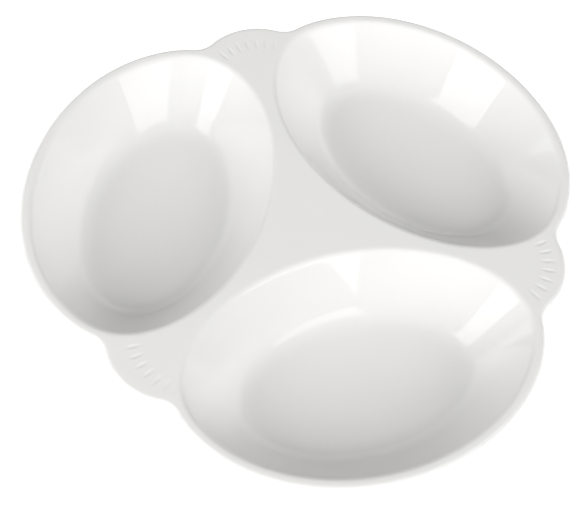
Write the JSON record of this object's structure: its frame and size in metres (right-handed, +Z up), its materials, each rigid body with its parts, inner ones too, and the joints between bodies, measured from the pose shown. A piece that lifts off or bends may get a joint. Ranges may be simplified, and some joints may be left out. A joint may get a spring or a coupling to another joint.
{
  "type": "divided serving dish",
  "caption": "White glazed porcelain serving dish with oval wells joined by a flat web, and small shell-fluted lugs between the wells.",
  "frame": {"origin": "on the dish's three-fold axis, in the plane that the foot rings stand on", "axes": "+Z up; the front well lies along -Y, and +X points to the right of it"},
  "size_m": [0.2638, 0.2541, 0.035],
  "materials": {
    "glaze": "smooth, glossy clear glaze over white porcelain",
    "biscuit": "unglazed, fine grained and ground flat"
  },
  "bodies": {
    "root": {"front_well": "glaze", "right_well": "glaze", "left_well": "glaze", "centre_web": "glaze", "back_lug": "glaze", "left_lug": "glaze", "right_lug": "glaze", "front_foot_ring": "biscuit", "right_foot_ring": "biscuit", "left_foot_ring": "biscuit"}
  },
  "joints": []
}
